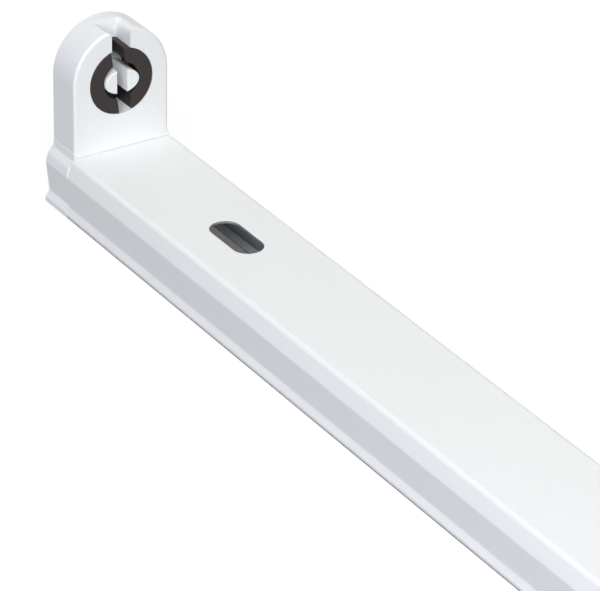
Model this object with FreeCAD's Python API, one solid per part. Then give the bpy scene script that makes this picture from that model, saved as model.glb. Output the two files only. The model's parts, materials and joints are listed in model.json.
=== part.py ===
import FreeCAD, Part
import math
import os

V = FreeCAD.Vector

# Everything is in millimetres. X runs along the batten, +Z points at the lamp,
# and Z = 0 is the plane that lies against the ceiling.

# Length: a 600 mm tube stands between the two lampholder faces.
FACE_SPAN = 592.0
HOLDER_DEPTH = 10.5

# Folded steel channel. The lip's upright edge is as high as its two bends need.
SHEET = 0.6
BODY_HEIGHT = 15.4
TOP_HALF = 14.1
SHOULDER_OUT = 1.6
SHOULDER_DROP = 4.5
WALL_LEAN = 0.5
LIP_OUT = 0.8
LIP_DROP = 1.75
LIP_EDGE_SHARE = 1.5
RETURN = 3.0
TOP_BEND = 0.8
FLARE_BEND = 1.2
LIP_BEND = 0.1
SLOT_LENGTH = 18.0
SLOT_WIDTH = 8.0
SLOT_FROM_FACE = 55.0

# Moulded end cap with its lampholder.
AXIS_ABOVE_BODY = 18.3
ARCH_R = 13.35
ARCH_RISE = 0.9
ARCH_EDGE_R = 0.8
CAP_PROUD = 0.05
CAP_CREST_DROP = 0.25
CAP_GROOVE = 0.3
CAP_GROOVE_DEPTH = 0.5
CAP_BULGE = 0.2
CAP_FOOT_IN = 0.4
CAP_FOOT_HEIGHT = 2.9
CAP_LIP_EDGE = 1.3
CAP_ROUNDS = [0.2, 3.0, 1.0, 0.5, 0.6, 0.2]
PLINTH_HEIGHT = 1.35
PLINTH_OUT = 0.25
PLINTH_FLARE = 0.15
PLINTH_ROUND = 0.3
FOOT_GROOVE = 0.2
FOOT_GROOVE_DEPTH = 0.3
WALL = 1.5
FACE_WALL = 2.2
ENTRY_WIDTH = 5.2
ENTRY_ROUND = 1.5
ENTRY_BACK = 0.5
TONGUE_LENGTH = 14.0
TONGUE_WALL = 1.3
TONGUE_BEND = 0.3
TONGUE_FIT = 0.25
TONGUE_FOOT = 1.0
FINGER_LENGTH = 5.0
FINGER_FLOOR = 0.1
FINGER_LEAD = 1.2
FINGER_FIT = 0.3
FINGER_INSET = 0.1
FINGER_FROM_TIP = 1.0
WINDOW_HALF = 9.0
WINDOW_LOW = 4.5
WINDOW_HIGH = 12.4

# Back cover, its core and its pegs.
COVER = 1.2
CORE_HALF_WIDTH = 4.8
CORE_HALF_HEIGHT = 3.2
CORE_PROUD = 0.6
CORE_SLOT = 2.8
CORE_EDGE_R = 0.3
JOURNAL_R = 4.85
JOURNAL_LENGTH = 2.1
PEG_R = 1.2
PEG_LENGTH = 4.3
PEG_FIT = 0.05
PEG_HOLE_SPARE = 0.5
PEG_ABOVE_BODY = 5.1
PEG_ABOVE_FLOOR = 0.7
BOSS_R = 2.2
BOSS_IN_CAP = 0.5
RIB = 0.6
RIB_HEIGHT = 1.6
RIB_BELOW_TAIL = 3.0
RIB_BELOW_ROTOR = 1.0

# Rotor: a slotted ring that turns with the pins of the lamp.
ROTOR_R = 8.8
ROTOR_FIT = 0.07
ROTOR_PROUD = 0.15
ROTOR_SLOT = 3.6
ROTOR_LIP = 1.2
ROTOR_FRONT_ROUND = 0.2
ROTOR_EDGE_ROUND = 0.4
ROTOR_BORE_R = 5.7
ROTOR_FLANGE_R = 9.7
ROTOR_FLANGE = 0.8
SLEEVE_WALL = 1.2
RUN_GAP = 0.3
LEFT_ROTOR_TURN = 7.0
RIGHT_ROTOR_TURN = 0.0

# Contact springs.
STRIP = 0.4
STRIP_WIDTH = 3.0
STRIP_BEND = 0.3
POCKET_FLOOR = 4.1
POCKET_FIT = 0.2
POCKET_AHEAD = 0.6
CROWN = 5.2
CROWN_DEPTH = 4.9
TIP_DEPTH = 2.4
ARM_FLAT = 2.6
ARM_BEND = 1.5
LEG_OVER_JOURNAL = 0.1
LEG_GAP = 1.1
TAIL_ABOVE_BODY = 4.5
TAIL_LENGTH = 5.0
TAIL_HOLE_OUT = 2.9
TAIL_HOLE_R = 0.65

# Terminal block, on the inside of the channel's top.
BLOCK_SIDE_GAP = 1.6
BLOCK_LENGTH = 15.0
BLOCK_HEIGHT = 11.5
TOWER_WIDTH = 7.0
TOWER_ROUND = 0.8
WEB = 3.5
POLE_BELOW_TOP = 6.2
BARREL_R = 2.4
BARREL_BORE_R = 1.4
BARREL_SINK = 1.0
BARREL_FIT = 0.05
EAR_R = 3.2
EAR_REACH = 4.0
EAR_THICK = 2.2
CLAMP_SPACING = 7.2
CLAMP_R = 1.2
CLAMP_HEAD_R = 1.75
CLAMP_HEAD = 1.6
CLAMP_WELL_R = 1.9
CLAMP_SINK = 0.3
CLAMP_SLOT = 0.5
CLAMP_SLOT_DEPTH = 0.6

# Studs welded to the channel, nuts, washer and earth tag.
BLOCK_STUD_R = 1.5
BLOCK_STUD_LENGTH = 5.8
BLOCK_NUT_FLATS = 5.5
BLOCK_NUT = 2.4
EARTH_X = -36.0
TAG_SIDE_GAP = 1.7
EARTH_STUD_R = 2.0
EARTH_STUD_LENGTH = 7.5
EARTH_NUT_FLATS = 7.0
EARTH_NUT = 3.2
WASHER_R = 4.4
WASHER = 0.8
WASHER_TEETH = 12
WASHER_NOTCH = 0.8
WASHER_NOTCH_DEPTH = 1.0
TAG = 0.8
TAG_R = 4.2
TAG_NECK = 3.2
SLEEVE_R = 1.7
CRIMP_START = 5.5
CRIMP_LENGTH = 6.0
CRIMP_GAP = 0.2
NUT_FACE_SHARE = 0.98
STUD_FIT = 0.1

# Insulated leads and the clips that hold them.
LEAD_R = 1.1
WIRE_R = 0.55
STRIPPED = 6.0
CLIP_COUNT = 4
FIRST_CLIP_FROM_MIDDLE = 60.5
LAST_CLIP_FROM_FACE = 70.5
CLIP_SIDE_GAP = 2.25
CLIP_LENGTH = 8.0
CLIP_WALL = 1.0
CLIP_LIP = 0.9
CLIP_BASE = 1.3
CLIP_ROUNDS = [0, 0.6, 0.3, 0.2, 0]
LEAD_PITCH = 2.7
LEAD_FIT = 0.2
WIRE_PAST_TAIL = 0.6
WIRE_GAP = 1.2

# How far a cutting tool runs past what it cuts, and a rib into what carries it.
OVER = 1.0
ROOT = 0.5

# Places that follow from the sizes above.
INNER_TOP = BODY_HEIGHT - SHEET
SHOULDER_Y = TOP_HALF + SHOULDER_OUT
WALL_FOOT_Y = SHOULDER_Y - WALL_LEAN
LIP_Y = WALL_FOOT_Y + LIP_OUT
LIP_EDGE = LIP_EDGE_SHARE * (SHEET + LIP_BEND)
LIP_HEIGHT = LIP_EDGE + LIP_DROP
AXIS_Z = BODY_HEIGHT + AXIS_ABOVE_BODY
ARCH_Z = AXIS_Z + ARCH_RISE
BORE_R = ROTOR_R + ROTOR_FIT
COVER_FACE = -(HOLDER_DEPTH - COVER)
SLEEVE_DEPTH = HOLDER_DEPTH - COVER - STRIP - ROTOR_FLANGE - 2 * RUN_GAP
ENTRY_DEPTH = SLEEVE_DEPTH - ENTRY_BACK
ENTRY_HALF = ENTRY_WIDTH / 2
FLANGE_FRONT = -(SLEEVE_DEPTH + RUN_GAP)
FLANGE_BACK = FLANGE_FRONT - ROTOR_FLANGE
TAIL_Z = BODY_HEIGHT + TAIL_ABOVE_BODY
TAIL_X = COVER_FACE + STRIP + TAIL_HOLE_OUT
LEG_NEAR = JOURNAL_R - LEG_OVER_JOURNAL
LEG_MIDDLE = LEG_NEAR + STRIP_WIDTH / 2
PEG_Y = LEG_NEAR + STRIP_WIDTH + LEG_GAP + BOSS_R
PEG_HIGH = BODY_HEIGHT + PEG_ABOVE_BODY
PEG_LOW_Y = WALL_FOOT_Y - WALL - BOSS_R + BOSS_IN_CAP
PEG_LOW = WALL + BOSS_R + PEG_ABOVE_FLOOR
POLE_Z = INNER_TOP - POLE_BELOW_TOP
POLE_PITCH = TOP_HALF - BLOCK_SIDE_GAP - TOWER_WIDTH / 2
EARTH_Y = TOP_HALF - TAG_SIDE_GAP - TAG_R
LEAD_Z = INNER_TOP - CLIP_BASE - LEAD_FIT - LEAD_R
CLIP_HALF = LEAD_PITCH / 2 + LEAD_R + LEAD_FIT
LEAD_LANE = CLIP_HALF + CLIP_WALL + CLIP_SIDE_GAP - TOP_HALF
FACE_X = -FACE_SPAN / 2
CLIP_RUN = FACE_SPAN / 2 - LAST_CLIP_FROM_FACE - FIRST_CLIP_FROM_MIDDLE
CLIP_PITCH = CLIP_RUN / (CLIP_COUNT - 1)
CLIP_XS = [FACE_X + LAST_CLIP_FROM_FACE + i * CLIP_PITCH for i in reversed(range(CLIP_COUNT))]
PEG_PAIRS = [(PEG_Y, PEG_HIGH), (PEG_LOW_Y, PEG_LOW)]
PEG_PLACES = [(side * y, z) for y, z in PEG_PAIRS for side in (-1, 1)]


def across(x):
    """Places a flat point on the plane across the batten at x."""
    return lambda p: V(x, p.x, p.y)


def along(y):
    """Places a flat point on the upright plane along the batten at y."""
    return lambda p: V(p.x, y, p.y)


def level(z):
    """Places a flat point on the level plane at z."""
    return lambda p: V(p.x, p.y, z)


def rounded_corner(before, corner, after, radius):
    """The start, middle and end of a rounded corner, or the corner itself."""
    into = (corner - before).normalize()
    out = (after - corner).normalize()
    turn = into.getAngle(out)
    if radius == 0 or turn < 1e-6:
        return [corner]
    reach = radius * math.tan(turn / 2)
    inward = (out - into).normalize()
    sag = radius / math.cos(turn / 2) - radius
    return [corner - into * reach, corner + inward * sag, corner + out * reach]


def outline(points, radii, place):
    """A flat face with each corner rounded to its own radius."""
    count = len(points)
    corners = []
    for i in range(count):
        corners.append(rounded_corner(points[i - 1], points[i], points[(i + 1) % count], radii[i]))
    edges = []
    for i in range(count):
        corner = [place(p) for p in corners[i]]
        if len(corner) == 3:
            edges.append(Part.Arc(corner[0], corner[1], corner[2]).toShape())
        following = place(corners[(i + 1) % count][0])
        if corner[-1].distanceToPoint(following) > 1e-6:
            edges.append(Part.LineSegment(corner[-1], following).toShape())
    return Part.Face(Part.Wire(edges))


def both_sides(half):
    """A whole path from its right half, which starts beside the middle plane."""
    left = [V(-p.x, p.y, 0) for p in reversed(half)]
    return left + half


def offset_path(points, distance):
    """The same open path, moved to the right of its own direction."""
    steps = [(b - a).normalize() for a, b in zip(points, points[1:])]
    normals = [V(s.y, -s.x, 0) for s in steps]
    moved = [points[0] + normals[0] * distance]
    for before, after, point in zip(normals, normals[1:], points[1:]):
        moved.append(point + (before + after) * (distance / (1 + before.dot(after))))
    moved.append(points[-1] + normals[-1] * distance)
    return moved


def strip_section(path, thickness, bends, place):
    """The section of a bent strip: the path is one side, and the other lies to its
    right, or to its left if the thickness is negative."""
    other = offset_path(path, thickness)
    near = []
    far = []
    for i, bend in enumerate(bends):
        into = path[i + 1] - path[i]
        out = path[i + 2] - path[i + 1]
        wraps = (into.cross(out).z < 0) == (thickness > 0)
        near.append(bend + abs(thickness) if wraps else bend)
        far.append(bend if wraps else bend + abs(thickness))
    radii = [0] + near + [0, 0] + far[::-1] + [0]
    return outline(path + other[::-1], radii, place)


def box(x0, x1, y0, y1, z0, z1):
    return Part.makeBox(x1 - x0, y1 - y0, z1 - z0, V(x0, y0, z0))


def rod_x(radius, x0, x1, y, z):
    return Part.makeCylinder(radius, x1 - x0, V(x0, y, z), V(1, 0, 0))


def rod_z(radius, z0, z1, x, y):
    return Part.makeCylinder(radius, z1 - z0, V(x, y, z0), V(0, 0, 1))


def channel_path():
    """The outside of the folded channel, from one return flange to the other."""
    half = [
        V(TOP_HALF, BODY_HEIGHT, 0),
        V(SHOULDER_Y, BODY_HEIGHT - SHOULDER_DROP, 0),
        V(WALL_FOOT_Y, LIP_HEIGHT, 0),
        V(LIP_Y, LIP_EDGE, 0),
        V(LIP_Y, 0, 0),
        V(LIP_Y - RETURN, 0, 0),
    ]
    return both_sides(half)


def wall_y(z):
    """How far the outside of the channel's wall stands from the middle at height z."""
    share = (z - LIP_HEIGHT) / (BODY_HEIGHT - SHOULDER_DROP - LIP_HEIGHT)
    return WALL_FOOT_Y + (SHOULDER_Y - WALL_FOOT_Y) * share


def finger_y():
    """The inner and outer faces of a snap finger, in line with the tongue's wall."""
    outer = wall_y(LIP_HEIGHT + TONGUE_FOOT) - SHEET - TONGUE_FIT - FINGER_INSET
    return outer - TONGUE_WALL, outer


def obround(x, y, length, width, z0, z1):
    """An upright prism with round ends, long along X."""
    reach = length / 2
    side = width / 2
    straight = reach - side
    near_left = V(x - straight, y - side, z0)
    near_right = V(x + straight, y - side, z0)
    far_right = V(x + straight, y + side, z0)
    far_left = V(x - straight, y + side, z0)
    edges = [
        Part.LineSegment(near_left, near_right).toShape(),
        Part.Arc(near_right, V(x + reach, y, z0), far_right).toShape(),
        Part.LineSegment(far_right, far_left).toShape(),
        Part.Arc(far_left, V(x - reach, y, z0), near_left).toShape(),
    ]
    return Part.Face(Part.Wire(edges)).extrude(V(0, 0, z1 - z0))


def between(a, b):
    """Two values, the lower one first."""
    return min(a, b), max(a, b)


def batten_body():
    """The folded channel, with a fixing slot and two finger notches near each end."""
    lip_bends = [LIP_BEND, LIP_BEND, FLARE_BEND]
    bends = lip_bends + [TOP_BEND] * 4 + lip_bends[::-1]
    section = strip_section(channel_path(), SHEET, bends, across(-FACE_SPAN / 2))
    body = section.extrude(V(FACE_SPAN, 0, 0))
    finger_outer = finger_y()[1]
    finger_end = FACE_SPAN / 2 - TONGUE_LENGTH + FINGER_FROM_TIP
    for side in (-1, 1):
        slot_x = side * (FACE_SPAN / 2 - SLOT_FROM_FACE)
        body = body.cut(obround(slot_x, 0, SLOT_LENGTH, SLOT_WIDTH, INNER_TOP - OVER, BODY_HEIGHT + OVER))
        x0, x1 = between(side * (finger_end - FINGER_FIT), side * (finger_end + FINGER_LENGTH + FINGER_FIT))
        for flank in (-1, 1):
            y0, y1 = between(flank * (LIP_Y - RETURN - OVER), flank * (finger_outer + FINGER_FIT))
            body = body.cut(box(x0, x1, y0, y1, -OVER, SHEET + FINGER_FIT))
    return body


def cap_outline(x):
    """The cap's closed outline, a little proud of the channel."""
    top = BODY_HEIGHT - CAP_CREST_DROP
    crest = TOP_HALF + CAP_PROUD - CAP_GROOVE
    shoulder = V(SHOULDER_Y + CAP_PROUD, BODY_HEIGHT - SHOULDER_DROP, 0)
    middle = (V(crest, top, 0) + shoulder) * 0.5
    slope = (shoulder - V(crest, top, 0)).normalize()
    bulge = middle + V(-slope.y, slope.x, 0) * (2 * CAP_BULGE)
    half = [
        V(crest, top, 0),
        bulge,
        shoulder,
        V(WALL_FOOT_Y + CAP_PROUD - CAP_FOOT_IN, CAP_FOOT_HEIGHT, 0),
        V(LIP_Y + CAP_PROUD, CAP_LIP_EDGE, 0),
        V(LIP_Y + CAP_PROUD, 0, 0),
    ]
    return outline(both_sides(half), CAP_ROUNDS[::-1] + CAP_ROUNDS, across(x))


def cap_room(x):
    """The hollow under the cap's shoulders, a wall's thickness inside the outline."""
    half = [
        V(TOP_HALF, BODY_HEIGHT, 0),
        V(SHOULDER_Y, BODY_HEIGHT - SHOULDER_DROP, 0),
        V(wall_y(-OVER), -OVER, 0),
    ]
    path = offset_path(both_sides(half), WALL - CAP_PROUD)
    return outline(path, [0] * len(path), across(x))


def arch_outline(x, radius, foot):
    """The lampholder's outline: upright sides under a half circle."""
    bottom = V(x, radius, foot)
    right = V(x, radius, ARCH_Z)
    left = V(x, -radius, ARCH_Z)
    edges = [
        Part.LineSegment(bottom, right).toShape(),
        Part.Arc(right, V(x, 0, ARCH_Z + radius), left).toShape(),
        Part.LineSegment(left, V(x, -radius, foot)).toShape(),
        Part.LineSegment(V(x, -radius, foot), bottom).toShape(),
    ]
    return Part.Face(Part.Wire(edges))


def plinth_outline(x, foot):
    """The low foot that the lampholder stands on, with sides that flare down."""
    top = BODY_HEIGHT + PLINTH_HEIGHT
    half = [
        V(ARCH_R + PLINTH_OUT - PLINTH_FLARE, top, 0),
        V(ARCH_R + PLINTH_OUT, foot, 0),
    ]
    return outline(both_sides(half), [0, PLINTH_ROUND, PLINTH_ROUND, 0], across(x))


def end_prism(x0, x1):
    """Cap, plinth and lampholder as one solid between two planes."""
    length = V(x1 - x0, 0, 0)
    crest = BODY_HEIGHT - CAP_CREST_DROP
    groove_floor = crest - CAP_GROOVE_DEPTH
    solid = cap_outline(x0).extrude(length)
    for side in (-1, 1):
        y0, y1 = between(side * (ARCH_R + PLINTH_OUT), side * (ARCH_R + PLINTH_OUT + CAP_GROOVE))
        solid = solid.cut(box(x0, x1, y0, y1, groove_floor, crest + OVER))
    solid = solid.fuse(plinth_outline(x0, groove_floor).extrude(length))
    return solid.fuse(arch_outline(x0, ARCH_R, groove_floor).extrude(length))


def round_front_edge(solid, x, radius):
    """Rounds the front edge of the arch."""
    edges = []
    for edge in solid.Edges:
        reach = edge.BoundBox
        in_face = abs(reach.XMin - x) < 1e-4 and abs(reach.XMax - x) < 1e-4
        if in_face and reach.ZMax > BODY_HEIGHT + PLINTH_HEIGHT + OVER:
            edges.append(edge)
    return solid.makeFillet(radius, edges)


def entry_profile(x):
    """The way in for the pins: upright walls and a rounded mouth at the roof."""
    angle = math.asin(ENTRY_HALF / ARCH_R)
    roof = ARCH_Z + ARCH_R * math.cos(angle)
    slope = math.tan(angle)
    side = ENTRY_HALF + ENTRY_ROUND * 2
    half = [
        V(side, ARCH_Z + ARCH_R + OVER, 0),
        V(side, roof - (side - ENTRY_HALF) * slope, 0),
        V(ENTRY_HALF, roof, 0),
        V(ENTRY_HALF, AXIS_Z, 0),
    ]
    rounds = [0, 0, ENTRY_ROUND, 0]
    return outline(both_sides(half), rounds[::-1] + rounds, across(x))


def end_cap():
    """The moulded end cap and lampholder. Its lamp face is at x = 0."""
    start = COVER_FACE - OVER
    groove_floor = BODY_HEIGHT - CAP_CREST_DROP - CAP_GROOVE_DEPTH
    arch = arch_outline(COVER_FACE, ARCH_R, BODY_HEIGHT).extrude(V(-COVER_FACE, 0, 0))
    arch = round_front_edge(arch, 0, ARCH_EDGE_R)
    foot = box(COVER_FACE, 0, -LIP_Y - OVER, LIP_Y + OVER, -OVER, BODY_HEIGHT + PLINTH_HEIGHT)
    whole = end_prism(COVER_FACE, 0).common(foot).fuse(arch)
    foot_half = ARCH_R + PLINTH_OUT
    groove_top = BODY_HEIGHT + FOOT_GROOVE
    whole = whole.cut(box(-FOOT_GROOVE_DEPTH, OVER, -foot_half, foot_half, BODY_HEIGHT, groove_top))

    holder_room = arch_outline(start, ARCH_R - WALL, groove_floor - WALL)
    holder_room = holder_room.extrude(V(-FACE_WALL - start, 0, 0))
    room = cap_room(start).extrude(V(-WALL - start, 0, 0))
    room = room.common(box(start, 0, -LIP_Y, LIP_Y, WALL, groove_floor - WALL))
    shell = whole.cut([holder_room, room])

    throat = ENTRY_HALF + SLEEVE_WALL
    fittings = [rod_x(BORE_R + SLEEVE_WALL, -SLEEVE_DEPTH, -OVER, 0, AXIS_Z)]
    fittings.append(box(-SLEEVE_DEPTH, -OVER, -throat, throat, AXIS_Z + BORE_R, ARCH_Z + ARCH_R))
    for y, z in PEG_PLACES:
        fittings.append(rod_x(BOSS_R, COVER_FACE, -OVER, y, z))
    shell = shell.fuse([piece.common(whole) for piece in fittings])

    shell = shell.cut(rod_x(BORE_R, start, OVER, 0, AXIS_Z))
    shell = shell.cut(rod_x(ROTOR_FLANGE_R + RUN_GAP, start, -SLEEVE_DEPTH, 0, AXIS_Z))
    shell = shell.cut(entry_profile(-ENTRY_DEPTH).extrude(V(ENTRY_DEPTH + OVER, 0, 0)))
    peg_floor = COVER_FACE + PEG_LENGTH + PEG_HOLE_SPARE
    for y, z in PEG_PLACES:
        shell = shell.cut(rod_x(PEG_R + PEG_FIT, start, peg_floor, y, z))
    shell = shell.cut(box(-WALL - OVER, OVER, -WINDOW_HALF, WINDOW_HALF, WINDOW_LOW, WINDOW_HIGH))
    return shell.fuse(tongue()).removeSplitter()


def tongue():
    """The part of the cap that slides into the channel, with two snap fingers."""
    foot = LIP_HEIGHT + TONGUE_FOOT
    half = [
        V(TOP_HALF, BODY_HEIGHT, 0),
        V(SHOULDER_Y, BODY_HEIGHT - SHOULDER_DROP, 0),
        V(wall_y(foot), foot, 0),
    ]
    path = offset_path(both_sides(half), SHEET + TONGUE_FIT)
    section = strip_section(path, TONGUE_WALL, [TONGUE_BEND] * 4, across(-WALL))
    solid = section.extrude(V(TONGUE_LENGTH + WALL, 0, 0))
    inner, outer = finger_y()
    tip = TONGUE_LENGTH - FINGER_FROM_TIP
    heel = tip - FINGER_LENGTH
    root = foot + OVER
    profile = [
        V(heel, root, 0),
        V(tip, root, 0),
        V(tip, FINGER_FLOOR + FINGER_LEAD, 0),
        V(tip - FINGER_LEAD, FINGER_FLOOR, 0),
        V(heel, FINGER_FLOOR, 0),
    ]
    for side in (-1, 1):
        face = outline(profile, [0] * len(profile), along(min(side * inner, side * outer)))
        solid = solid.fuse(face.extrude(V(0, TONGUE_WALL, 0)))
    return solid


def core():
    """The fixed oval core inside the rotor, split for the pins, on a round journal."""
    centre = V(COVER_FACE, 0, AXIS_Z)
    oval = Part.Ellipse(centre + V(0, CORE_HALF_WIDTH, 0), centre + V(0, 0, CORE_HALF_HEIGHT), centre)
    solid = Part.Face(Part.Wire([oval.toShape()])).extrude(V(CORE_PROUD - COVER_FACE, 0, 0))
    slot_back = COVER_FACE + JOURNAL_LENGTH - RUN_GAP
    half_slot = CORE_SLOT / 2
    solid = solid.cut(box(slot_back, OVER, -half_slot, half_slot, AXIS_Z - JOURNAL_R, AXIS_Z + JOURNAL_R))
    front_edges = [e for e in solid.Edges if abs(e.BoundBox.XMin - CORE_PROUD) < 1e-4]
    solid = solid.makeFillet(CORE_EDGE_R, front_edges)
    solid = solid.fuse(rod_x(JOURNAL_R, COVER_FACE, slot_back, 0, AXIS_Z))
    reach = STRIP_WIDTH / 2 + POCKET_FIT
    pocket_front = POCKET_AHEAD - TIP_DEPTH
    for side in (-1, 1):
        y0, y1 = between(side * POCKET_FLOOR, side * (JOURNAL_R + OVER))
        solid = solid.cut(box(COVER_FACE, pocket_front, y0, y1, AXIS_Z - reach, AXIS_Z + reach))
    return solid


def back_cover():
    """The plate that closes the cap and holder, with the core, pegs and ribs on it."""
    parts = [core()]
    for y, z in PEG_PLACES:
        parts.append(rod_x(PEG_R, COVER_FACE - ROOT, COVER_FACE + PEG_LENGTH, y, z))
    rib_foot = TAIL_Z - RIB_BELOW_TAIL
    rib_top = AXIS_Z - ROTOR_FLANGE_R - RIB_BELOW_ROTOR
    for side in (-1, 1):
        for y in (LEG_NEAR - POCKET_FIT - RIB, LEG_NEAR + STRIP_WIDTH + POCKET_FIT):
            y0, y1 = between(side * y, side * (y + RIB))
            parts.append(box(COVER_FACE - ROOT, COVER_FACE + RIB_HEIGHT, y0, y1, rib_foot, rib_top))
    return end_prism(-HOLDER_DEPTH, COVER_FACE).fuse(parts).removeSplitter()


def rotor(turn):
    """The slotted ring, turned about its axis by some degrees."""
    front = ROTOR_PROUD
    lip_r = JOURNAL_R + ROTOR_FIT
    profile = [
        V(front, lip_r, 0),
        V(front, ROTOR_R, 0),
        V(FLANGE_FRONT, ROTOR_R, 0),
        V(FLANGE_FRONT, ROTOR_FLANGE_R, 0),
        V(FLANGE_BACK, ROTOR_FLANGE_R, 0),
        V(FLANGE_BACK, lip_r, 0),
        V(FLANGE_FRONT, lip_r, 0),
        V(FLANGE_FRONT, ROTOR_BORE_R, 0),
        V(front - ROTOR_LIP, ROTOR_BORE_R, 0),
        V(front - ROTOR_LIP, lip_r, 0),
    ]
    rounds = [ROTOR_FRONT_ROUND, ROTOR_EDGE_ROUND] + [0] * (len(profile) - 2)
    ring = outline(profile, rounds, along(0)).revolve(V(0, 0, 0), V(1, 0, 0), 360)
    half_slot = ROTOR_SLOT / 2
    ring = ring.cut(box(FLANGE_FRONT, OVER, -half_slot, half_slot, -ROTOR_FLANGE_R, ROTOR_FLANGE_R))
    ring.rotate(V(0, 0, 0), V(1, 0, 0), turn)
    ring.translate(V(0, 0, AXIS_Z))
    return ring


def contact(side):
    """A bent strip: an arm beside the core, a leg down the cover and a soldering tail."""
    arm_start = POCKET_FLOOR + POCKET_FIT / 2
    arm = [
        V(COVER_FACE, LEG_NEAR + STRIP_WIDTH, 0),
        V(COVER_FACE, arm_start, 0),
        V(COVER_FACE + ARM_FLAT, arm_start, 0),
        V(-CROWN_DEPTH, CROWN - STRIP, 0),
        V(-TIP_DEPTH, arm_start, 0),
    ]
    low = AXIS_Z - STRIP_WIDTH / 2
    bends = [STRIP_BEND, ARM_BEND, ARM_BEND]
    strip = strip_section(arm, -STRIP, bends, level(low)).extrude(V(0, 0, STRIP_WIDTH))
    leg = [
        V(COVER_FACE, AXIS_Z + STRIP_WIDTH / 2, 0),
        V(COVER_FACE, TAIL_Z, 0),
        V(COVER_FACE + TAIL_LENGTH, TAIL_Z, 0),
    ]
    tail = strip_section(leg, -STRIP, [STRIP_BEND], along(LEG_NEAR)).extrude(V(0, STRIP_WIDTH, 0))
    hole = rod_z(TAIL_HOLE_R, TAIL_Z - OVER, TAIL_Z + OVER, TAIL_X, LEG_MIDDLE)
    solid = strip.fuse(tail).cut(hole).removeSplitter()
    if side < 0:
        solid = solid.mirror(V(0, 0, 0), V(0, 1, 0))
    return solid


def at_left(solid):
    solid.translate(V(-FACE_SPAN / 2, 0, 0))
    return solid


def at_right(solid):
    solid.rotate(V(0, 0, 0), V(0, 0, 1), 180)
    solid.translate(V(FACE_SPAN / 2, 0, 0))
    return solid


def hexagon(flats, z0, z1, x, y):
    """A hexagonal prism with its corners along X."""
    corner = flats / math.sqrt(3)
    points = []
    for angle in range(0, 361, 60):
        turn = math.radians(angle)
        points.append(V(x + corner * math.cos(turn), y + corner * math.sin(turn), z0))
    return Part.Face(Part.makePolygon(points)).extrude(V(0, 0, z1 - z0))


def pole_ys():
    return [-POLE_PITCH, 0.0, POLE_PITCH]


def ear_places():
    reach = BLOCK_LENGTH / 2 + EAR_REACH
    return [(-reach, -POLE_PITCH / 2), (reach, POLE_PITCH / 2)]


def clamp_places():
    return [(x, y) for x in (-CLAMP_SPACING / 2, CLAMP_SPACING / 2) for y in pole_ys()]


def terminal_block():
    """A three-pole block: a web against the channel and a tower for each pole."""
    half_length = BLOCK_LENGTH / 2
    half_width = POLE_PITCH + TOWER_WIDTH / 2
    floor = INNER_TOP - BLOCK_HEIGHT
    block = box(-half_length, half_length, -half_width, half_width, INNER_TOP - WEB, INNER_TOP)
    for y in pole_ys():
        tower = box(-half_length, half_length, y - TOWER_WIDTH / 2, y + TOWER_WIDTH / 2, floor, INNER_TOP)
        low_edges = [e for e in tower.Edges if abs(e.BoundBox.ZMax - floor) < 1e-4]
        block = block.fuse(tower.makeFillet(TOWER_ROUND, low_edges))
    for x, y in ear_places():
        x0, x1 = between(math.copysign(half_length - ROOT, x), x)
        arm = box(x0, x1, y - EAR_R, y + EAR_R, INNER_TOP - EAR_THICK, INNER_TOP)
        block = block.fuse([arm, rod_z(EAR_R, INNER_TOP - EAR_THICK, INNER_TOP, x, y)])
        block = block.cut(rod_z(BLOCK_STUD_R + STUD_FIT, floor, INNER_TOP + OVER, x, y))
    for y in pole_ys():
        block = block.cut(rod_x(BARREL_R + BARREL_FIT, -half_length - OVER, half_length + OVER, y, POLE_Z))
    for x, y in clamp_places():
        block = block.cut(rod_z(CLAMP_WELL_R, floor - OVER, POLE_Z, x, y))
    return block.removeSplitter()


def terminal_barrels():
    """Brass tubes, one for each pole, tapped for two clamping screws."""
    half_length = BLOCK_LENGTH / 2 - BARREL_SINK
    barrels = []
    for y in pole_ys():
        barrel = rod_x(BARREL_R, -half_length, half_length, y, POLE_Z)
        barrel = barrel.cut(rod_x(BARREL_BORE_R, -half_length - OVER, half_length + OVER, y, POLE_Z))
        for x in (-CLAMP_SPACING / 2, CLAMP_SPACING / 2):
            barrel = barrel.cut(rod_z(CLAMP_R + BARREL_FIT, POLE_Z - BARREL_R - OVER, POLE_Z, x, y))
        barrels.append(barrel)
    return Part.makeCompound(barrels)


def terminal_screws():
    """Slotted clamping screws that reach the wires through the barrels."""
    head_z = INNER_TOP - BLOCK_HEIGHT + CLAMP_SINK
    screws = []
    for x, y in clamp_places():
        screw = rod_z(CLAMP_HEAD_R, head_z, head_z + CLAMP_HEAD, x, y)
        screw = screw.fuse(rod_z(CLAMP_R, head_z + CLAMP_HEAD, POLE_Z - WIRE_R - BARREL_FIT, x, y))
        half = CLAMP_SLOT / 2
        slot_floor = head_z + CLAMP_SLOT_DEPTH
        slot = box(x - CLAMP_HEAD_R, x + CLAMP_HEAD_R, y - half, y + half, head_z - OVER, slot_floor)
        screws.append(screw.cut(slot).removeSplitter())
    return Part.makeCompound(screws)


def block_studs():
    """Studs welded to the inside of the channel's top."""
    studs = []
    for x, y in ear_places():
        studs.append(rod_z(BLOCK_STUD_R, INNER_TOP - BLOCK_STUD_LENGTH, INNER_TOP, x, y))
    return Part.makeCompound(studs)


def nut(flats, height, top, bore_r, x, y):
    """A hexagon nut with chamfered corners."""
    solid = hexagon(flats, top - height, top, x, y)
    rim = flats / 2 * NUT_FACE_SHARE
    tool = Part.makeCone(rim, rim + height, height, V(x, y, top - height), V(0, 0, 1))
    return solid.common(tool).cut(rod_z(bore_r, top - height - OVER, top + OVER, x, y))


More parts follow.
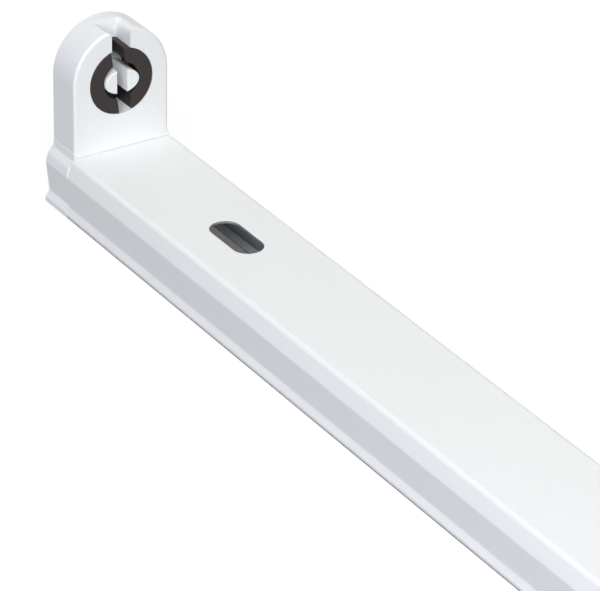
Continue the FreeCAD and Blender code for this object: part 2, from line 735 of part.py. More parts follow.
def block_nuts():
    top = INNER_TOP - EAR_THICK
    bore = BLOCK_STUD_R + BARREL_FIT
    return Part.makeCompound([nut(BLOCK_NUT_FLATS, BLOCK_NUT, top, bore, x, y) for x, y in ear_places()])


def earth_stud():
    return rod_z(EARTH_STUD_R, INNER_TOP - EARTH_STUD_LENGTH, INNER_TOP, EARTH_X, EARTH_Y)


def earth_washer():
    """A lock washer with teeth around its rim."""
    top = INNER_TOP - TAG
    washer = rod_z(WASHER_R, top - WASHER, top, EARTH_X, EARTH_Y)
    low = top - WASHER - OVER
    washer = washer.cut(rod_z(EARTH_STUD_R + STUD_FIT, low, top + OVER, EARTH_X, EARTH_Y))
    for i in range(WASHER_TEETH):
        notch = box(WASHER_R - WASHER_NOTCH_DEPTH, WASHER_R + OVER, 0, WASHER_NOTCH, low, top + OVER)
        notch.rotate(V(0, 0, 0), V(0, 0, 1), i * 360 / WASHER_TEETH)
        notch.translate(V(EARTH_X, EARTH_Y, 0))
        washer = washer.cut(notch)
    return washer


def earth_nut():
    top = INNER_TOP - TAG - WASHER
    return nut(EARTH_NUT_FLATS, EARTH_NUT, top, EARTH_STUD_R + BARREL_FIT, EARTH_X, EARTH_Y)


def crimp_z():
    return INNER_TOP - SLEEVE_R - CRIMP_GAP


def earth_tag():
    """A ring tag with the crimped barrel that holds the earth lead."""
    start = EARTH_X + CRIMP_START
    ring = rod_z(TAG_R, INNER_TOP - TAG, INNER_TOP, EARTH_X, EARTH_Y)
    neck_y = EARTH_Y - TAG_NECK / 2
    neck = box(EARTH_X, start + OVER, neck_y, neck_y + TAG_NECK, INNER_TOP - TAG, INNER_TOP - CRIMP_GAP)
    barrel = rod_x(SLEEVE_R, start, start + CRIMP_LENGTH, EARTH_Y, crimp_z())
    tag = ring.fuse([neck, barrel])
    tag = tag.cut(rod_x(LEAD_R, start + OVER, start + CRIMP_LENGTH + OVER, EARTH_Y, crimp_z()))
    hole = rod_z(EARTH_STUD_R + STUD_FIT, INNER_TOP - TAG - OVER, INNER_TOP + OVER, EARTH_X, EARTH_Y)
    return tag.cut(hole).removeSplitter()


def live_route():
    """The live lead's corners, from the block to the near contact of the left holder."""
    lane = LEAD_LANE - LEAD_PITCH / 2
    near_cap = [(20.5, -8.6, 9.0), (5.5, -6.9, 7.2)]
    return lead_route(-POLE_PITCH, lane, near_cap, -LEG_MIDDLE)


def neutral_route():
    """The neutral lead's corners, from the block to the far contact of the left holder."""
    lane = LEAD_LANE + LEAD_PITCH / 2
    near_cap = [(23.5, -4.4, 9.4), (7.5, 2.8, 7.2)]
    return lead_route(0.0, lane, near_cap, LEG_MIDDLE)


def lead_route(pole_y, lane, near_cap, contact_y):
    """A lead's corners: from its pole to the clips, slack between them, then into the cap."""
    rise_y = (pole_y + 2 * lane) / 3
    route = [
        V(-BLOCK_LENGTH / 2 + 1.5, pole_y, POLE_Z),
        V(-19, pole_y, POLE_Z),
        V(-33, rise_y, LEAD_Z - 1.6),
        V(-46, lane, LEAD_Z - 0.2),
    ]
    for i, x in enumerate(CLIP_XS):
        route.append(V(x, lane, LEAD_Z))
        swing = 0.25 if i % 2 else -0.25
        route.append(V(x - CLIP_PITCH / 2, lane + swing, LEAD_Z - 0.5))
    route[-1] = V(CLIP_XS[-1] - 26, lane - 0.15, LEAD_Z - 0.8)
    for point in near_cap:
        route.append(V(FACE_X + point[0], point[1], point[2]))
    end_x = TAIL_X + FACE_X
    route.append(V(end_x, contact_y, 7.0))
    route.append(V(end_x, contact_y, TAIL_Z - WIRE_GAP))
    return route


def earth_route():
    """The earth lead's corners, from the block to the ring tag."""
    end = EARTH_X + CRIMP_START + 2
    return [
        V(-BLOCK_LENGTH / 2 + 1.5, POLE_PITCH, POLE_Z),
        V(-13, POLE_PITCH, POLE_Z),
        V(-20.5, EARTH_Y, crimp_z()),
        V(end, EARTH_Y, crimp_z()),
    ]


def route_wire(points, name):
    """Straight runs joined by tangent arcs, with the radii that the runs allow."""
    corners = [[points[0]]]
    radii = []
    for before, corner, after in zip(points, points[1:], points[2:]):
        into = corner - before
        out = after - corner
        radius = 0.45 * min(into.Length, out.Length) / math.tan(into.getAngle(out) / 2)
        radii.append(radius)
        corners.append(rounded_corner(before, corner, after, radius))
    corners.append([points[-1]])
    edges = []
    for corner, following in zip(corners, corners[1:]):
        if len(corner) == 3:
            edges.append(Part.Arc(corner[0], corner[1], corner[2]).toShape())
        edges.append(Part.LineSegment(corner[-1], following[0]).toShape())
    print(name, "radii", [round(r, 1) for r in radii])
    return Part.Wire(edges)


def round_tube(wire, radius):
    """A solid round section carried along a wire."""
    start = wire.Edges[0]
    begin = start.valueAt(start.FirstParameter)
    direction = start.tangentAt(start.FirstParameter)
    ring = Part.Wire([Part.Circle(begin, direction, radius).toShape()])
    return wire.makePipeShell([ring], True, False)


def lead(points, name, bare_end):
    """Insulation along the route, with bare wire at the block and, if asked, at the end."""
    wire = route_wire(points, name)
    solid = round_tube(wire, LEAD_R)
    straight = math.pi * LEAD_R ** 2 * wire.Length
    print(name, "length", round(wire.Length, 1), "volume ratio", round(solid.Volume / straight, 4))
    first = (points[0] - points[1]).normalize()
    pieces = [Part.makeCylinder(WIRE_R, STRIPPED, points[0], first)]
    if bare_end:
        last = (points[-1] - points[-2]).normalize()
        pieces.append(Part.makeCylinder(WIRE_R, WIRE_GAP + STRIP + WIRE_PAST_TAIL, points[-1], last))
    return solid.fuse(pieces)


def live_lead():
    return lead(live_route(), "live_lead", True)


def neutral_lead():
    return lead(neutral_route(), "neutral_lead", True)


def earth_lead():
    return lead(earth_route(), "earth_lead", False)


def wire_clips():
    """Saddle clips under the channel's top that hold the two leads side by side."""
    half = CLIP_HALF
    roof = LEAD_Z + LEAD_R + LEAD_FIT
    floor = LEAD_Z - LEAD_R - LEAD_FIT
    right = [
        V(half + CLIP_WALL, INNER_TOP, 0),
        V(half + CLIP_WALL, floor - CLIP_WALL, 0),
        V(half - CLIP_LIP, floor - CLIP_WALL, 0),
        V(half - CLIP_LIP, floor, 0),
        V(half, floor, 0),
        V(half, roof, 0),
    ]
    left = [V(-p.x, p.y, 0) for p in reversed(right)]
    rounds = CLIP_ROUNDS + [LEAD_R]
    shift = V(LEAD_LANE, 0, 0)
    points = [p + shift for p in right + left]
    clips = []
    for x in CLIP_XS:
        face = outline(points, rounds + rounds[::-1], across(x - CLIP_LENGTH / 2))
        clips.append(face.extrude(V(CLIP_LENGTH, 0, 0)))
    return Part.makeCompound(clips)


NODES = {
    "batten_body": batten_body(),
    "left_end_cap": at_left(end_cap()),
    "right_end_cap": at_right(end_cap()),
    "left_back_cover": at_left(back_cover()),
    "right_back_cover": at_right(back_cover()),
    "left_rotor": at_left(rotor(LEFT_ROTOR_TURN)),
    "right_rotor": at_right(rotor(RIGHT_ROTOR_TURN)),
    "left_near_contact": at_left(contact(-1)),
    "left_far_contact": at_left(contact(1)),
    "right_near_contact": at_right(contact(1)),
    "right_far_contact": at_right(contact(-1)),
    "terminal_block": terminal_block(),
    "terminal_barrels": terminal_barrels(),
    "terminal_screws": terminal_screws(),
    "block_studs": block_studs(),
    "block_nuts": block_nuts(),
    "earth_stud": earth_stud(),
    "earth_washer": earth_washer(),
    "earth_nut": earth_nut(),
    "earth_tag": earth_tag(),
    "live_lead": live_lead(),
    "neutral_lead": neutral_lead(),
    "earth_lead": earth_lead(),
    "wire_clips": wire_clips(),
}

os.makedirs("parts", exist_ok=True)
for name, shape in NODES.items():
    shape.exportStep("parts/" + name + ".step")
    print(name, "solids", len(shape.Solids), "valid", shape.isValid(), "volume", round(shape.Volume, 1))
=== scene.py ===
"""Dresses the LED tube batten fitting: its finishes, threads, bare wires and solder."""
import bmesh
import bpy
import json
import math
from mathutils import Matrix, Vector


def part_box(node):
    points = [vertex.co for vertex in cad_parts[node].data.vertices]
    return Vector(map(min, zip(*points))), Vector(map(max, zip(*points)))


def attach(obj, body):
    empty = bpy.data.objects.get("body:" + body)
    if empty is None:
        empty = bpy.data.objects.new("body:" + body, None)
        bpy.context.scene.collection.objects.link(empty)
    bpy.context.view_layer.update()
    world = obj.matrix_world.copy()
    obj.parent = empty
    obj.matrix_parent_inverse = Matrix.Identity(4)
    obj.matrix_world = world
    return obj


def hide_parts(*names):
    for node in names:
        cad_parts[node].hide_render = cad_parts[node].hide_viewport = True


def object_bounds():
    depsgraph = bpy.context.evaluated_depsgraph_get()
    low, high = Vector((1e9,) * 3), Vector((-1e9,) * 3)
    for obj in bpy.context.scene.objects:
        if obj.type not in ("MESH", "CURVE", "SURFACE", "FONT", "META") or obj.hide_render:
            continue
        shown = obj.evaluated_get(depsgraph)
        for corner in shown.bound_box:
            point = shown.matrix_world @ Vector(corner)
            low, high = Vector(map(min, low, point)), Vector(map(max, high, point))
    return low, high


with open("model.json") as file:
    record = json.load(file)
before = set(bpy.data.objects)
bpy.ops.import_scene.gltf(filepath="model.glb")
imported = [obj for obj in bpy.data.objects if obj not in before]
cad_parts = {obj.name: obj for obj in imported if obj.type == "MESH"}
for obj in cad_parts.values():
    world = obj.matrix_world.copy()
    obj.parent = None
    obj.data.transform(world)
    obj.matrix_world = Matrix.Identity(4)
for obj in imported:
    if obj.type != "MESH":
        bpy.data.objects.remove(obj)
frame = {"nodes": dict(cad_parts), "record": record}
cad_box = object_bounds()

MM = 0.001
WHITE = (1, 1, 1, 1)
BATTEN = "batten"

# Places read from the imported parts, in metres.
BODY_LOW, BODY_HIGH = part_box("batten_body")
FACE_FOOT = Vector((BODY_LOW.x, 0, BODY_HIGH.z))

# The camera, fitted to the photograph: how it is turned, and how far in front of it, to its right
# and above its axis the foot of the left lampholder's face stands.
AZIMUTH = math.radians(57.506)
ELEVATION = math.radians(28.886)
ROLL = math.radians(1.029)
FOOT_DEPTH = 1.022026
FOOT_RIGHT = -0.044241
FOOT_UP = 0.036792
LENS_MM = 247.04
SENSOR_MM = 36
CLIP_START = 0.01

# Noise in the finishes: the layers of each kind, and how much finer the fine tone is.
SLOW_TONE = {"Detail": 3.0, "Roughness": 0.55}
FINE_TONE = {"Detail": 2.0, "Roughness": 0.5}
FINE_TONE_TIMES = 22.0
SKIN_WAVE = {"Detail": 2.0, "Roughness": 0.45}
SKIN_GRAIN = {"Detail": 1.0, "Roughness": 0.5}

# The grey on the sheet's inner side: a back coat as pre-painted steel has, made dark as painted
# shade for the inside of the channel. A wall's inner side and the underside of the top have a
# normal below these turns, and the layer holds the top's whole sheet.
INNER_SHADE_COLOR = (0.26, 0.265, 0.28, 1)
WALL_TURN = -0.05
TOP_TURN = 0.2
SHEET_LAYER = 1.0 * MM

# The earth lead's stripes: how they slant, their rate in radians a metre and their soft edges.
STRIPE_COLOR = (0.72, 0.60, 0.03, 1)
STRIPE_SLANT = (1.0, 0.9, 0.9)
STRIPE_RATE = 1200.0
STRIPE_EDGE = (0.05, 0.20)

# Threads. Flanks steeper than a plain zigzag leave flats on the crests and roots.
EARTH_THREAD_PITCH = 0.7 * MM
BLOCK_THREAD_PITCH = 0.5 * MM
BLOCK_STUD_R = 1.5 * MM
THREAD_DEPTH_SHARE = 0.61
FLANK_SLOPE = 1.3
ROWS_PER_TURN = 8
RING_SIDES = 48

# The leads, and the contacts' tails that they are soldered to.
LEAD_R = 1.1 * MM
TAIL_HALF = 1.5 * MM
TAIL_THICK = 0.4 * MM

# Bare strands, from below the tail to just inside the lead's insulation.
BARE_BELOW_TAIL = 1.2 * MM
STRAND_OVERLAP = 0.02 * MM
STRANDS = 14
STRAND_R = 0.09 * MM
STRAND_TURN_LENGTH = 9.0 * MM
STRAND_ROWS = 12
BUNDLE_R = 0.56 * MM

# Solder, whose cones are more hollow with a higher power.
SOLDER_FOOT_R = 1.2 * MM
SOLDER_HEIGHT = 0.55 * MM
SOLDER_POWER = 2.2
SOLDER_ROWS = 8

# The sky's light above and below, and the white that rays show in place of it.
SKY_LEVEL = 0.175
LOWER_SKY_LEVEL = 0.32
SURROUND_LEVEL = 1.0

# The floor. Its white glow gives way to a dim painted shade under the fitting, from a little
# inside the fitting's outline, which draws a painted shadow line under the bend of the lips.
FLOOR_HALF = 3.0
FLOOR_GAP = 0.2 * MM
FLOOR_COLOR = (0.20, 0.20, 0.20, 1)
FLOOR_ROUGHNESS = 0.9
FLOOR_GLOW = 0.86
SHADE_GLOW = 0.11
SHADE_INSET = 0.33 * MM

# The lamps, which are aimed at the foot of the left lampholder's face.
KEY_PLACE = (1.70, -0.28, 1.88)
KEY_SIZE = (1.4, 1.4)
KEY_POWER = 27.6
KEY_COLOR = (1.0, 1.0, 0.86)
FILL_PLACE = (0.32, -0.62, 0.51)
FILL_SIZE = (0.67, 0.52)
FILL_POWER = 7.4
FILL_COLOR = (0.87, 0.89, 1.0)
TOP_PLACE = (-0.55, 0.10, 1.30)
TOP_SIZE = (1.0, 1.0)
TOP_POWER = 2.0
TOP_COLOR = (0.97, 1.0, 0.97)
BACK_PLACE = (-0.55, 0.85, 0.90)
BACK_SIZE = (1.0, 0.8)
BACK_POWER = 2.4
BACK_COLOR = (0.97, 0.98, 1.0)

# Blender's names and numbers for sockets.
FLOAT = "NodeSocketFloat"
COLOR = "NodeSocketColor"
MIX_SHARE, MIX_FIRST, MIX_SECOND, MIX_RESULT = 0, 6, 7, 2


def new_material(name):
    """A new node material, with its tree and its shader."""
    material = bpy.data.materials.new(name)
    material.use_nodes = True
    tree = material.node_tree
    return material, tree, tree.nodes["Principled BSDF"]


def node(tree, kind, place, **values):
    """A node at a place in its tree, with the given properties."""
    made = tree.nodes.new(kind)
    made.location = place
    for key, value in values.items():
        setattr(made, key, value)
    return made


def fill(socket, value):
    """Links an input to another node's output, or sets it to a plain value."""
    if isinstance(value, bpy.types.NodeSocket):
        socket.id_data.links.new(value, socket)
    else:
        socket.default_value = value


def feed(made, **inputs):
    """Fills the inputs of a node by name, with underscores for spaces."""
    for key, value in inputs.items():
        fill(made.inputs[key.replace("_", " ")], value)
    return made


def result(tree, kind, place, *terms, **values):
    """The first output of a new node, whose inputs are filled in their order."""
    made = node(tree, kind, place, **values)
    for socket, term in zip(made.inputs, terms):
        fill(socket, term)
    return made.outputs[0]


def maths(tree, operation, place, *terms, **values):
    """The result of a Math node over sockets and plain numbers."""
    return result(tree, "ShaderNodeMath", place, *terms, operation=operation, **values)


def split(tree, place, vector):
    """The X, Y and Z of a vector."""
    made = node(tree, "ShaderNodeSeparateXYZ", place)
    fill(made.inputs[0], vector)
    return made.outputs


def noise(tree, place, spot, scale, layers):
    """The value of a noise texture at a spot."""
    made = node(tree, "ShaderNodeTexNoise", place)
    feed(made, Vector=spot, Scale=scale, **layers)
    return made.outputs["Fac"]


def new_group(name, inputs, outputs):
    """A shader node group with the given sockets, and its input and output nodes."""
    group = bpy.data.node_groups.new(name, "ShaderNodeTree")
    for label, kind, value in inputs:
        socket = group.interface.new_socket(label, in_out="INPUT", socket_type=kind)
        socket.default_value = value
    for label, kind in outputs:
        group.interface.new_socket(label, in_out="OUTPUT", socket_type=kind)
    start = node(group, "NodeGroupInput", (-900, 0))
    end = node(group, "NodeGroupOutput", (600, 0))
    return group, start.outputs, end


def place_group(tree, group, place, **inputs):
    """One use of a node group in a material."""
    return feed(node(tree, "ShaderNodeGroup", place, name=group.name, node_tree=group), **inputs)


def mottle_group():
    """Slow and fine changes of tone over a surface, as paint and mouldings have."""
    group, given, end = new_group(
        "mottle",
        [("Color", COLOR, (0.8, 0.8, 0.8, 1)), ("Scale", FLOAT, 60.0), ("Amount", FLOAT, 0.03)],
        [("Color", COLOR)],
    )
    spot = node(group, "ShaderNodeTexCoord", (-900, -300)).outputs["Object"]
    finer = maths(group, "MULTIPLY", (-760, -400), given["Scale"], FINE_TONE_TIMES)
    slow = noise(group, (-600, -100), spot, given["Scale"], SLOW_TONE)
    fine = noise(group, (-600, -400), spot, finer, FINE_TONE)
    both = maths(group, "ADD", (-400, -250), slow, fine)
    centred = maths(group, "SUBTRACT", (-240, -250), both, 1.0)
    change = maths(group, "MULTIPLY", (-80, -250), centred, given["Amount"])
    gain = maths(group, "ADD", (80, -250), change, 1.0)
    tone = node(group, "ShaderNodeVectorMath", (300, 0), operation="SCALE")
    fill(tone.inputs[0], given["Color"])
    feed(tone, Scale=gain)
    feed(end, Color=tone.outputs[0])
    return group


def skin_group():
    """The small waves and grain of a skin, as a height, and how its gloss changes."""
    group, given, end = new_group(
        "skin",
        [
            ("Wave Scale", FLOAT, 900.0),
            ("Grain Scale", FLOAT, 5000.0),
            ("Grain Share", FLOAT, 0.3),
            ("Roughness", FLOAT, 0.4),
            ("Spread", FLOAT, 0.08),
        ],
        [("Height", FLOAT), ("Roughness", FLOAT)],
    )
    spot = node(group, "ShaderNodeTexCoord", (-900, -300)).outputs["Object"]
    wave = noise(group, (-600, 100), spot, given["Wave Scale"], SKIN_WAVE)
    grain = noise(group, (-600, -200), spot, given["Grain Scale"], SKIN_GRAIN)
    fine = maths(group, "MULTIPLY", (-400, -200), grain, given["Grain Share"])
    height = maths(group, "ADD", (-200, 0), wave, fine)
    centred = maths(group, "SUBTRACT", (-200, -300), wave, 0.5)
    change = maths(group, "MULTIPLY", (0, -300), centred, given["Spread"])
    gloss = maths(group, "ADD", (200, -300), change, given["Roughness"])
    feed(end, Height=height, Roughness=gloss)
    return group


MOTTLE = mottle_group()
SKIN = skin_group()
FINISHES = {}


def finish(slot, color, roughness, wave, bump, amount=0.03, spread=0.08, metallic=0.0,
           specular=0.5):
    """Makes a slot's material: mottled colour and a skin of waves, with bump in millimetres."""
    material, tree, shader = new_material(slot)
    tone = place_group(tree, MOTTLE, (-600, 200), Color=color + (1,), Amount=amount)
    skin = place_group(tree, SKIN, (-600, -200), Wave_Scale=wave, Roughness=roughness,
                       Spread=spread)
    relief = node(tree, "ShaderNodeBump", (-300, -300))
    feed(relief, Strength=1.0, Distance=bump * MM, Height=skin.outputs["Height"])
    feed(shader, Base_Color=tone.outputs["Color"], Roughness=skin.outputs["Roughness"])
    feed(shader, Normal=relief.outputs["Normal"], Metallic=metallic, Specular_IOR_Level=specular)
    FINISHES[slot] = material


def two_colored(slot, mask, second):
    """Gives a finish a second colour where the mask is one."""
    tree = FINISHES[slot].node_tree
    tone = tree.nodes[MOTTLE.name]
    mix = node(tree, "ShaderNodeMix", (-740, 400), data_type="RGBA")
    fill(mix.inputs[MIX_SHARE], mask)
    fill(mix.inputs[MIX_FIRST], tone.inputs["Color"].default_value)
    fill(mix.inputs[MIX_SECOND], second)
    feed(tone, Color=mix.outputs[MIX_RESULT])


def striped(slot, second):
    """Gives a lead's finish a second colour, in bands that run round it on the slant."""
    tree = FINISHES[slot].node_tree
    spot = node(tree, "ShaderNodeTexCoord", (-1400, 300)).outputs["Object"]
    slant = node(tree, "ShaderNodeVectorMath", (-1220, 300), operation="DOT_PRODUCT")
    fill(slant.inputs[0], spot)
    fill(slant.inputs[1], STRIPE_SLANT)
    along = maths(tree, "MULTIPLY", (-1060, 300), slant.outputs["Value"], STRIPE_RATE)
    swing = maths(tree, "SINE", (-900, 300), along)
    edge = node(tree, "ShaderNodeMapRange", (-900, 500))
    feed(edge, Value=swing, From_Min=STRIPE_EDGE[0], From_Max=STRIPE_EDGE[1])
    two_colored(slot, edge.outputs[0], second)


def shade_inner_side(slot, second):
    """Gives the sheet's inner side a grey back coat, dark enough to stand as painted shade inside
    the channel.

    The inner side is where a wall faces the middle of the channel, and where its top faces down.
    """
    tree = FINISHES[slot].node_tree
    surface = node(tree, "ShaderNodeTexCoord", (-1700, 300)).outputs
    spot = split(tree, (-1500, 500), surface["Object"])
    facing = split(tree, (-1500, 200), surface["Normal"])
    side = maths(tree, "SIGN", (-1300, 400), spot["Y"])
    outward = maths(tree, "MULTIPLY", (-1120, 400), side, facing["Y"])
    wall = maths(tree, "LESS_THAN", (-940, 400), outward, WALL_TURN)
    down = maths(tree, "LESS_THAN", (-1120, 150), facing["Z"], TOP_TURN)
    high = maths(tree, "GREATER_THAN", (-1120, -50), spot["Z"], BODY_HIGH.z - SHEET_LAYER)
    ceiling = maths(tree, "MULTIPLY", (-940, 100), down, high)
    inside = maths(tree, "MAXIMUM", (-760, 300), wall, ceiling)
    two_colored(slot, inside, second)


def make_finishes():
    """Makes the finish of each slot in the record."""
    finish("painted_steel", (0.87, 0.88, 0.875), 0.42, wave=1100.0, bump=0.02, specular=0.35)
    # The inner side's dark grey is painted shade for the inside of the channel.
    shade_inner_side("painted_steel", INNER_SHADE_COLOR)
    finish("moulded_white", (0.85, 0.865, 0.87), 0.36, wave=500.0, bump=0.008)
    finish("rotor_plastic", (0.024, 0.018, 0.017), 0.48, wave=1400.0, bump=0.01,
           amount=0.1, specular=0.35)
    finish("spring_brass", (0.78, 0.58, 0.28), 0.28, wave=700.0, bump=0.004,
           spread=0.2, metallic=1.0)
    finish("block_plastic", (0.80, 0.80, 0.75), 0.48, wave=900.0, bump=0.012)
    finish("plated_steel", (0.62, 0.64, 0.66), 0.34, wave=1500.0, bump=0.006,
           spread=0.25, metallic=1.0)
    finish("tinned_copper", (0.74, 0.73, 0.71), 0.30, wave=1500.0, bump=0.006, metallic=1.0)
    finish("lead_brown", (0.12, 0.045, 0.02), 0.38, wave=600.0, bump=0.01)
    finish("lead_blue", (0.02, 0.09, 0.36), 0.38, wave=600.0, bump=0.01)
    finish("lead_green_yellow", (0.05, 0.30, 0.05), 0.38, wave=600.0, bump=0.01)
    striped("lead_green_yellow", STRIPE_COLOR)
    finish("clip_plastic", (0.80, 0.80, 0.75), 0.40, wave=900.0, bump=0.01)


def dress_nodes():
    """Gives each part the finish of its slot in the record."""
    for subpart in frame["record"]["subparts"]:
        mesh = frame["nodes"][subpart["node"]].data
        mesh.materials.clear()
        mesh.materials.append(FINISHES[subpart["material_slot"]])


def ring_mesh(rings):
    """A closed mesh skinned over rings of points, with a flat end at each side."""
    count = len(rings[0])
    points = [point for ring in rings for point in ring]
    faces = []
    for row in range(len(rings) - 1):
        for i in range(count):
            after = (i + 1) % count
            low, high = row * count, (row + 1) * count
            faces.append((low + i, low + after, high + after, high + i))
    faces.append(tuple(reversed(range(count))))
    faces.append(tuple(range(len(points) - count, len(points))))
    mesh = bpy.data.meshes.new("rings")
    mesh.from_pydata(points, [], faces)
    mesh.polygons.foreach_set("use_smooth", [len(face) == 4 for face in faces])
    return mesh


def place_piece(name, meshes, slot, *hidden):
    """One piece made of the given meshes, which rides on the batten and may hide CAD nodes."""
    joined = bmesh.new()
    for mesh in meshes:
        joined.from_mesh(mesh)
        bpy.data.meshes.remove(mesh)
    whole = bpy.data.meshes.new(name)
    joined.to_mesh(whole)
    joined.free()
    whole.materials.append(FINISHES[slot])
    made = bpy.data.objects.new(name, whole)
    bpy.context.scene.collection.objects.link(made)
    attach(made, BATTEN)
    if hidden:
        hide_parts(*hidden)


def circle(axis, z, radius_at):
    """Points round a level circle whose radius may change with the angle."""
    ring = []
    for i in range(RING_SIDES):
        angle = 2 * math.pi * i / RING_SIDES
        radius = radius_at(angle)
        ring.append((axis[0] + radius * math.cos(angle), axis[1] + radius * math.sin(angle), z))
    return ring


def threaded_stud(axis, radius, pitch, tip_z, root_z):
    """A stud with a helical thread and a chamfered tip, which points down."""
    depth = THREAD_DEPTH_SHARE * pitch
    rows = round((root_z - tip_z) / pitch * ROWS_PER_TURN)
    rings = []
    for row in range(rows + 1):
        z = tip_z + (root_z - tip_z) * row / rows
        chamfered = radius - depth + (z - tip_z)

        def radius_at(angle):
            turn = (z / pitch - angle / (2 * math.pi)) % 1
            flank = 0.5 + FLANK_SLOPE * (abs(2 * turn - 1) - 0.5)
            return min(radius - depth * min(max(flank, 0), 1), chamfered)

        rings.append(circle(axis, z, radius_at))
    return ring_mesh(rings)


def add_studs():
    """The welded studs, with threads in place of the plain rods."""
    low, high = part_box("earth_stud")
    middle = (low + high) / 2
    radius = (high.x - low.x) / 2
    stud = threaded_stud(middle, radius, EARTH_THREAD_PITCH, low.z, high.z)
    place_piece("earth_stud_threaded", [stud], "plated_steel", "earth_stud")
    low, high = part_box("block_studs")
    first = (low.x + BLOCK_STUD_R, low.y + BLOCK_STUD_R)
    second = (high.x - BLOCK_STUD_R, high.y - BLOCK_STUD_R)
    studs = []
    for axis in (first, second):
        studs.append(threaded_stud(axis, BLOCK_STUD_R, BLOCK_THREAD_PITCH, low.z, high.z))
    place_piece("block_studs_threaded", studs, "plated_steel", "block_studs")


def stranded_end(axis, low_z, high_z):
    """The bare strands of a lead, which twist round their middle."""
    rings = []
    for row in range(STRAND_ROWS + 1):
        z = low_z + (high_z - low_z) * row / STRAND_ROWS
        twist = 2 * math.pi * z / STRAND_TURN_LENGTH

        def radius_at(angle):
            return BUNDLE_R + STRAND_R * math.sqrt(abs(math.sin(STRANDS / 2 * (angle - twist))))

        rings.append(circle(axis, z, radius_at))
    return ring_mesh(rings)


def solder_cone(axis, foot_z, rise):
    """A hollow-sided cone of solder, from its foot on the tail up or down the wire."""
    tip_r = BUNDLE_R + STRAND_R
    rings = []
    for row in range(SOLDER_ROWS + 1):
        share = row / SOLDER_ROWS
        radius = tip_r + (SOLDER_FOOT_R - tip_r) * (1 - share) ** SOLDER_POWER
        rings.append(circle(axis, foot_z + rise * share, lambda angle: radius))
    if rise < 0:
        rings.reverse()
    return ring_mesh(rings)


def add_soldered_ends():
    """Bare strands and solder where the two long leads meet the left contacts."""
    ends = (("live", "left_near_contact", -1), ("neutral", "left_far_contact", 1))
    for lead, contact, side in ends:
        lead_low, lead_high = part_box(lead + "_lead")
        tail_low, tail_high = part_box(contact)
        outer = tail_low.y if side < 0 else tail_high.y
        axis = (lead_low.x + LEAD_R, outer - side * TAIL_HALF)
        tail = tail_low.z
        strands = stranded_end(axis, tail - BARE_BELOW_TAIL, lead_high.z + STRAND_OVERLAP)
        place_piece(lead + "_strands", [strands], "tinned_copper")
        below = solder_cone(axis, tail, -SOLDER_HEIGHT)
        above = solder_cone(axis, tail + TAIL_THICK, SOLDER_HEIGHT)
        place_piece(lead + "_solder", [below, above], "tinned_copper")


def seen_ray(tree):
    """One for rays that show the background: from the camera, in gloss and through glass."""
    path = node(tree, "ShaderNodeLightPath", (-900, -300)).outputs
    first = maths(tree, "MAXIMUM", (-700, -300), path["Is Camera Ray"], path["Is Glossy Ray"])
    return maths(tree, "MAXIMUM", (-540, -300), first, path["Is Transmission Ray"])


def sky():
    """Even light from above and from below, and a white surround for rays that show it."""
    world = bpy.data.worlds.new("sky")
    bpy.context.scene.world = world
    world.use_nodes = True
    tree = world.node_tree
    tree.nodes.clear()
    toward = node(tree, "ShaderNodeTexCoord", (-900, 300)).outputs["Generated"]
    height = split(tree, (-700, 300), toward)["Z"]
    below = maths(tree, "LESS_THAN", (-520, 300), height, 0.0)
    level = maths(tree, "MULTIPLY_ADD", (-340, 300), below, LOWER_SKY_LEVEL - SKY_LEVEL, SKY_LEVEL)
    light = result(tree, "ShaderNodeBackground", (0, 200), WHITE, level)
    seen = result(tree, "ShaderNodeBackground", (0, 0), WHITE, SURROUND_LEVEL)
    mixed = result(tree, "ShaderNodeMixShader", (200, 0), seen_ray(tree), light, seen)
    feed(node(tree, "ShaderNodeOutputWorld", (400, 0)), Surface=mixed)


def lamp(name, place, size, power, color):
    """A soft rectangular lamp, aimed at the foot of the left lampholder's face."""
    data = bpy.data.lights.new(name, "AREA")
    data.shape = "RECTANGLE"
    data.size, data.size_y = size
    data.energy = power
    data.color = color
    made = bpy.data.objects.new(name, data)
    bpy.context.scene.collection.objects.link(made)
    aim = (FACE_FOOT - Vector(place)).to_track_quat("-Z", "Y")
    made.matrix_world = Matrix.Translation(place) @ aim.to_matrix().to_4x4()


def clear_of_fitting(tree):
    """One on the floor around the fitting, and nothing under it."""
    spot = node(tree, "ShaderNodeTexCoord", (-1300, -600)).outputs["Object"]
    across = split(tree, (-1100, -600), spot)
    beyond = []
    for row, axis in enumerate("XY"):
        reach = cad_box[1][row] - SHADE_INSET
        distance = maths(tree, "ABSOLUTE", (-900, -600 - 200 * row), across[axis])
        beyond.append(maths(tree, "GREATER_THAN", (-700, -600 - 200 * row), distance, reach))
    return maths(tree, "MAXIMUM", (-500, -700), *beyond)


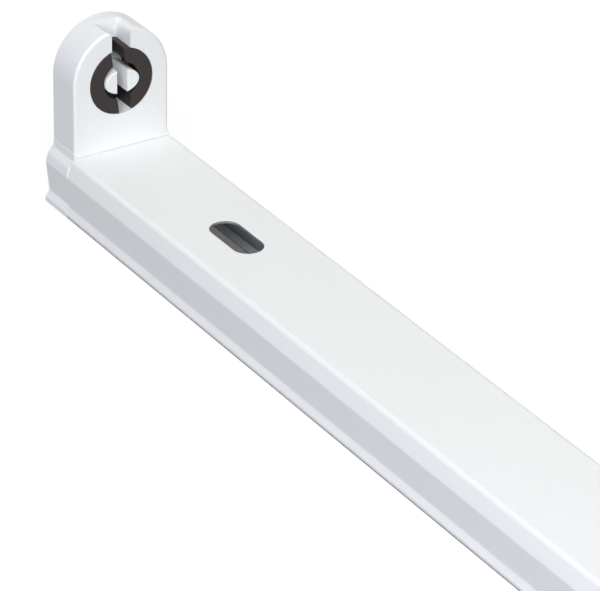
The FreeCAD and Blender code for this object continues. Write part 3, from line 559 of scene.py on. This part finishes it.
def floor_finish():
    """A matt finish that glows white around the fitting, with a dim painted shade under it.

    Under the fitting it lets the light from below through, and from below it is clear everywhere.
    """
    material, tree, shader = new_material("floor")
    feed(shader, Base_Color=FLOOR_COLOR, Roughness=FLOOR_ROUGHNESS, Specular_IOR_Level=0.0)
    clear = clear_of_fitting(tree)
    # Painted shade: the glow is white around the fitting and dim under it.
    level = maths(tree, "MULTIPLY_ADD", (-350, -300), clear, FLOOR_GLOW - SHADE_GLOW, SHADE_GLOW)
    shown = maths(tree, "MULTIPLY", (-180, -300), level, seen_ray(tree))
    glow = result(tree, "ShaderNodeEmission", (0, -300), WHITE, shown)
    lit = result(tree, "ShaderNodeAddShader", (250, 0), shader.outputs[0], glow)
    path = node(tree, "ShaderNodeLightPath", (-350, 500)).outputs
    soft = maths(tree, "MAXIMUM", (-180, 500), path["Is Diffuse Ray"], path["Is Shadow Ray"])
    let_in = maths(tree, "SUBTRACT", (0, 500), soft, clear, use_clamp=True)
    behind = node(tree, "ShaderNodeNewGeometry", (250, 300)).outputs["Backfacing"]
    open_to = maths(tree, "MAXIMUM", (420, 300), let_in, behind)
    through = node(tree, "ShaderNodeBsdfTransparent", (250, -300)).outputs[0]
    mixed = result(tree, "ShaderNodeMixShader", (450, 0), open_to, lit, through)
    end = tree.nodes["Material Output"]
    end.location = (650, 0)
    feed(end, Surface=mixed)
    return material


def floor():
    """A wide floor just under the fitting."""
    corners = [(-FLOOR_HALF, -FLOOR_HALF, 0), (FLOOR_HALF, -FLOOR_HALF, 0)]
    corners += [(FLOOR_HALF, FLOOR_HALF, 0), (-FLOOR_HALF, FLOOR_HALF, 0)]
    mesh = bpy.data.meshes.new("floor")
    mesh.from_pydata(corners, [], [(0, 1, 2, 3)])
    mesh.materials.append(floor_finish())
    made = bpy.data.objects.new("floor", mesh)
    made.location.z = cad_box[0][2] - FLOOR_GAP
    bpy.context.scene.collection.objects.link(made)


def camera():
    """The photograph's view."""
    back = Vector((math.sin(AZIMUTH) * math.cos(ELEVATION),
                   -math.cos(AZIMUTH) * math.cos(ELEVATION),
                   math.sin(ELEVATION)))
    level_right = Vector((0, 0, 1)).cross(back).normalized()
    level_up = back.cross(level_right)
    right = math.cos(ROLL) * level_right + math.sin(ROLL) * level_up
    up = -math.sin(ROLL) * level_right + math.cos(ROLL) * level_up
    eye = FACE_FOOT - FOOT_RIGHT * right - FOOT_UP * up + FOOT_DEPTH * back
    data = bpy.data.cameras.new("camera")
    data.sensor_width = SENSOR_MM
    data.lens = LENS_MM
    data.clip_start = CLIP_START
    made = bpy.data.objects.new("camera", data)
    bpy.context.scene.collection.objects.link(made)
    turn = Matrix((right, up, back)).transposed().to_4x4()
    made.matrix_world = Matrix.Translation(eye) @ turn
    bpy.context.scene.camera = made


make_finishes()
dress_nodes()
add_studs()
add_soldered_ends()
camera()
sky()
lamp("key", KEY_PLACE, KEY_SIZE, KEY_POWER, KEY_COLOR)
lamp("fill", FILL_PLACE, FILL_SIZE, FILL_POWER, FILL_COLOR)
lamp("top_lamp", TOP_PLACE, TOP_SIZE, TOP_POWER, TOP_COLOR)
lamp("back_lamp", BACK_PLACE, BACK_SIZE, BACK_POWER, BACK_COLOR)
floor()
bpy.context.scene.view_settings.view_transform = "Standard"
